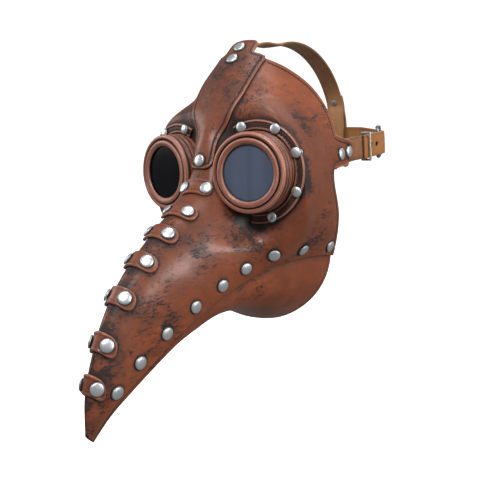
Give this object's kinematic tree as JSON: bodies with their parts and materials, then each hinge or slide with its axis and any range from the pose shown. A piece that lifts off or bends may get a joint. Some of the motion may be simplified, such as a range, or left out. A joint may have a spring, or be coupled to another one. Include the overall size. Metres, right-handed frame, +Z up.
{
  "type": "beaked leather face mask",
  "caption": "Beaked leather face mask with riveted seams and ridge bands, round goggle eyes and a buckled head harness.",
  "frame": {"origin": "inside the wearer's head, on its upright centre line at the height of the eyes", "axes": "+Z up, the beak points along -Y, +X is the wearer's left"},
  "size_m": [0.172, 0.3744, 0.3191],
  "materials": {
    "mask_leather": "antiqued reddish brown leather, dark patina in the creases",
    "trim_leather": "smooth reddish brown leather with dark edges and stitch lines",
    "flange_leather": "dark antiqued leather with stitched edges",
    "eyecup_moulding": "moulded and painted to look like stacked leather rings, satin",
    "rim_moulding": "painted pinkish brown with dark grooves, satin",
    "lens_ring_moulding": "painted pinkish brown, satin",
    "smoked_lens": "smoked, smooth, nearly opaque",
    "strap_leather": "camel brown strap leather",
    "anchor_leather": "dark tan strap leather",
    "crown_leather": "light tan strap leather",
    "rivet_steel": "domed, satin silver with dark patina round the edge",
    "pewter": "antiqued dark pewter",
    "keeper_wire": "pale bright wire"
  },
  "bodies": {
    "mask": {"left_face_panel": "mask_leather", "right_face_panel": "mask_leather", "jaw_panel": "mask_leather", "forehead_strip": "trim_leather", "ridge_band_1": "trim_leather", "ridge_band_2": "trim_leather", "ridge_band_3": "trim_leather", "ridge_band_4": "trim_leather", "ridge_band_5": "trim_leather", "ridge_band_6": "trim_leather", "ridge_band_7": "trim_leather", "ridge_band_rivets": "rivet_steel", "left_seam_rivets": "rivet_steel", "right_seam_rivets": "rivet_steel", "forehead_rivets": "rivet_steel", "left_tab_rivets": "rivet_steel", "right_tab_rivets": "rivet_steel", "left_eye_flange": "flange_leather", "right_eye_flange": "flange_leather", "left_flange_rivets": "rivet_steel", "right_flange_rivets": "rivet_steel", "left_eyecup": "eyecup_moulding", "right_eyecup": "eyecup_moulding", "left_rim": "rim_moulding", "right_rim": "rim_moulding", "left_lens": "smoked_lens", "right_lens": "smoked_lens", "left_lens_ring": "lens_ring_moulding", "right_lens_ring": "lens_ring_moulding", "left_anchor_strap": "anchor_leather", "right_anchor_strap": "anchor_leather", "back_strap": "strap_leather", "crown_strap": "crown_leather", "crown_strap_rivet": "rivet_steel"},
    "left_buckle": {"left_buckle_frame": "pewter"},
    "left_prong": {"left_buckle_prong": "pewter"},
    "left_keeper": {"left_strap_keeper": "keeper_wire"},
    "right_buckle": {"right_buckle_frame": "pewter"},
    "right_prong": {"right_buckle_prong": "pewter"},
    "right_keeper": {"right_strap_keeper": "keeper_wire"}
  },
  "joints": [
    {"name": "left_buckle_lift", "type": "hinge", "parent": "mask", "child": "left_buckle", "pos_m": [0.0762, 0.03904, 0.02894], "axis": [0, 0.153, -0.9882], "range_deg": [0, 8]},
    {"name": "left_prong_lift", "type": "hinge", "parent": "left_buckle", "child": "left_prong", "pos_m": [0.0762, 0.03904, 0.02894], "axis": [0, 0.153, -0.9882], "range_deg": [0, 8]},
    {"name": "left_keeper_slide", "type": "slide", "parent": "mask", "child": "left_keeper", "axis": [0, 0.9882, 0.153], "range_m": [-0.003, 0.012]},
    {"name": "right_buckle_lift", "type": "hinge", "parent": "mask", "child": "right_buckle", "pos_m": [-0.0762, 0.03904, 0.02894], "axis": [0, -0.153, 0.9882], "range_deg": [0, 8]},
    {"name": "right_prong_lift", "type": "hinge", "parent": "right_buckle", "child": "right_prong", "pos_m": [-0.0762, 0.03904, 0.02894], "axis": [0, -0.153, 0.9882], "range_deg": [0, 8]},
    {"name": "right_keeper_slide", "type": "slide", "parent": "mask", "child": "right_keeper", "axis": [0, 0.9882, 0.153], "range_m": [-0.003, 0.012]}
  ]
}
